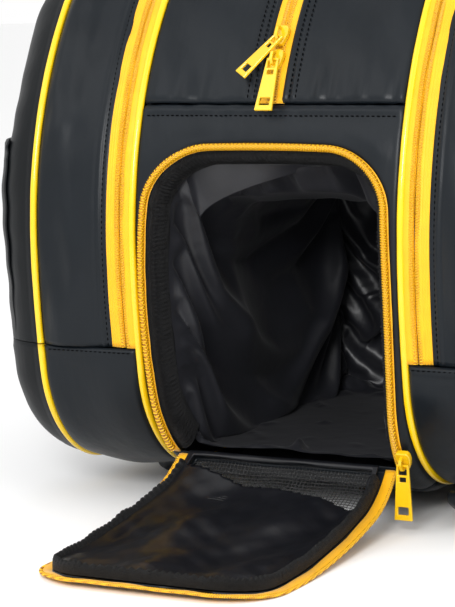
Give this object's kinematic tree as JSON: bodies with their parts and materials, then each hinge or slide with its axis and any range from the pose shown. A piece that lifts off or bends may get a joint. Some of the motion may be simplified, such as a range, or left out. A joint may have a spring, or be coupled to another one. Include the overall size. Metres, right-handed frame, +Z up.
{
  "type": "racket tournament bag",
  "caption": "Padded racket bag with side compartments that fold open, a centre section and an end shoe pocket behind a hinged flap.",
  "frame": {"origin": "bottom centre of the whole bag with its end flap open, on the plane it stands on", "axes": "+X across the bag to its right, +Y along the bag from the end pocket to the rear, +Z up"},
  "size_m": [0.443, 0.7728, 0.3951],
  "materials": {
    "black_leatherette": "smooth satin coated fabric",
    "black_lining": "satin nylon",
    "black_mesh": "open square mesh",
    "yellow_zip_tape": "woven zip tape with moulded coils",
    "yellow_piping": "glossy coated piping",
    "yellow_painted_metal": "semi-gloss paint",
    "grey_board": "matt board"
  },
  "bodies": {
    "bag": {"base_board": "grey_board", "centre_bottom_panel": "black_leatherette", "centre_front_panel": "black_leatherette", "centre_rear_panel": "black_leatherette", "divider_left": "black_leatherette", "divider_right": "black_leatherette", "left_body_zip_tape": "yellow_zip_tape", "left_carrying_strap": "black_leatherette", "left_inner_piping": "yellow_piping", "left_outer_piping_lower": "yellow_piping", "left_side_panel_lower": "black_leatherette", "left_tray_gusset": "black_leatherette", "pocket_binding": "black_lining", "pocket_zip_tape": "yellow_zip_tape", "right_body_zip_tape": "yellow_zip_tape", "right_carrying_strap": "black_leatherette", "right_inner_piping": "yellow_piping", "right_outer_piping_lower": "yellow_piping", "right_side_panel_lower": "black_leatherette", "right_tray_gusset": "black_leatherette", "shoe_pocket_liner": "black_lining", "top_panel_left": "black_leatherette", "top_panel_right": "black_leatherette", "top_zip_tape_left": "yellow_zip_tape", "top_zip_tape_right": "yellow_zip_tape"},
    "flap": {"flap_binding": "black_lining", "flap_lining": "black_lining", "flap_panel": "black_leatherette", "flap_vent_mesh": "black_mesh", "flap_zip_tape": "yellow_zip_tape"},
    "left_cover": {"left_cover_gusset": "black_leatherette", "left_cover_zip_tape": "yellow_zip_tape", "left_outer_piping_upper": "yellow_piping", "left_side_panel_upper": "black_leatherette", "left_slip_pocket": "black_leatherette"},
    "right_cover": {"right_cover_gusset": "black_leatherette", "right_cover_zip_tape": "yellow_zip_tape", "right_outer_piping_upper": "yellow_piping", "right_side_panel_upper": "black_leatherette", "right_slip_pocket": "black_leatherette"},
    "left_handle": {"left_handle_sleeve": "black_leatherette", "left_handle_webbing": "black_leatherette"},
    "right_handle": {"right_handle_sleeve": "black_leatherette", "right_handle_webbing": "black_leatherette"},
    "top_lower_slider_body": {"top_lower_slider": "yellow_painted_metal"},
    "top_upper_slider_body": {"top_upper_slider": "yellow_painted_metal"},
    "pocket_slider_body": {"pocket_slider": "yellow_painted_metal"},
    "left_zip_slider_body": {"left_zip_slider": "yellow_painted_metal"},
    "right_zip_slider_body": {"right_zip_slider": "yellow_painted_metal"},
    "top_lower_tab": {"top_lower_pull_tab": "yellow_painted_metal"},
    "top_upper_tab": {"top_upper_pull_tab": "yellow_painted_metal"},
    "pocket_tab": {"pocket_pull_tab": "yellow_painted_metal"},
    "left_zip_tab": {"left_zip_pull_tab": "yellow_painted_metal"},
    "right_zip_tab": {"right_zip_pull_tab": "yellow_painted_metal"}
  },
  "joints": [
    {"name": "flap_hinge", "type": "hinge", "parent": "bag", "child": "flap", "pos_m": [0, -0.17371, 0.0385], "axis": [-1, 0, 0], "range_deg": [0, 94.1]},
    {"name": "left_cover_hinge", "type": "hinge", "parent": "bag", "child": "left_cover", "pos_m": [-0.2187, 0.08803, 0.113], "axis": [0, -1, 0], "range_deg": [0, 105]},
    {"name": "right_cover_hinge", "type": "hinge", "parent": "bag", "child": "right_cover", "pos_m": [0.2187, 0.08803, 0.113], "axis": [0, 1, 0], "range_deg": [0, 105]},
    {"name": "left_handle_hinge", "type": "hinge", "parent": "bag", "child": "left_handle", "pos_m": [-0.0817, 0.08803, 0.3744], "axis": [0, -1, 0], "range_deg": [0, 95]},
    {"name": "right_handle_hinge", "type": "hinge", "parent": "bag", "child": "right_handle", "pos_m": [0.0817, 0.08803, 0.3744], "axis": [0, 1, 0], "range_deg": [0, 95]},
    {"name": "top_lower_slider_run", "type": "hinge", "parent": "bag", "child": "top_lower_slider_body", "pos_m": [0, 0.06744, 0.178], "axis": [1, 0, 0], "range_deg": [0, 4]},
    {"name": "top_upper_slider_run", "type": "hinge", "parent": "bag", "child": "top_upper_slider_body", "pos_m": [0, 0.06744, 0.178], "axis": [-1, 0, 0], "range_deg": [0, 4.5]},
    {"name": "pocket_slider_run", "type": "hinge", "parent": "bag", "child": "pocket_slider_body", "pos_m": [0.0889, -0.1161, 0.094], "axis": [-1, 0, 0], "range_deg": [0, 20]},
    {"name": "left_zip_slider_run", "type": "hinge", "parent": "bag", "child": "left_zip_slider_body", "pos_m": [-0.1059, -0.2279, 0.178], "axis": [1, 0, 0], "range_deg": [0, 4.2]},
    {"name": "right_zip_slider_run", "type": "hinge", "parent": "bag", "child": "right_zip_slider_body", "pos_m": [0.1059, -0.2279, 0.178], "axis": [1, 0, 0], "range_deg": [0, 4.2]},
    {"name": "top_lower_tab_hinge", "type": "hinge", "parent": "top_lower_slider_body", "child": "top_lower_tab", "pos_m": [0, -0.17835, 0.30336], "axis": [-1, 0, 0], "range_deg": [0, 95]},
    {"name": "top_upper_tab_hinge", "type": "hinge", "parent": "top_upper_slider_body", "child": "top_upper_tab", "pos_m": [0.00122, -0.17077, 0.31826], "axis": [-0.7605, 0.5653, 0.3195], "range_deg": [0, 80]},
    {"name": "pocket_tab_hinge", "type": "hinge", "parent": "pocket_slider_body", "child": "pocket_tab", "pos_m": [0.0889, -0.18728, 0.04484], "axis": [-1, 0, 0], "range_deg": [-10, 110]},
    {"name": "left_zip_tab_hinge", "type": "hinge", "parent": "left_zip_slider_body", "child": "left_zip_tab", "pos_m": [-0.1059, 0.38288, 0.12107], "axis": [1, 0, 0], "range_deg": [-5, 120]},
    {"name": "right_zip_tab_hinge", "type": "hinge", "parent": "right_zip_slider_body", "child": "right_zip_tab", "pos_m": [0.1059, 0.38288, 0.12107], "axis": [1, 0, 0], "range_deg": [-5, 120]}
  ]
}
